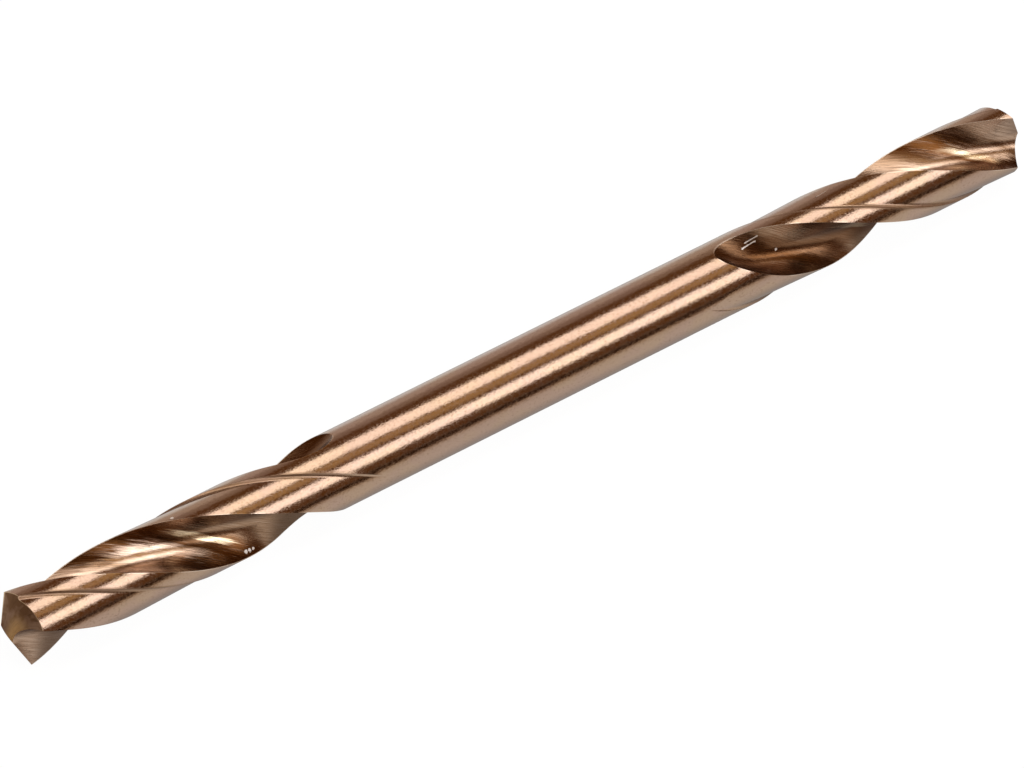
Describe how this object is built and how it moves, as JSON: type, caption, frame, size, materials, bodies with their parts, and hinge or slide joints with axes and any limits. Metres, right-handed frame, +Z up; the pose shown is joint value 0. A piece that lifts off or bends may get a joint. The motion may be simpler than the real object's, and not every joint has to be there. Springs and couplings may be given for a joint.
{
  "type": "double-ended drill bit",
  "caption": "Short drill bit with a right-hand twist drill ground at each end of a plain round shank, for drilling small holes in sheet metal.",
  "frame": {"origin": "centre of the plain shank, on the bit's axis, half way between the two points", "axes": "+X along the axis towards the right-hand point, +Z up when the bit lies on its side as pictured"},
  "size_m": [0.0508, 0.0032, 0.0032],
  "materials": {
    "tempered_steel": "cobalt tool steel, ground and tempered to a bronze colour"
  },
  "bodies": {
    "root": {"drill_bit": "tempered_steel"}
  },
  "joints": []
}
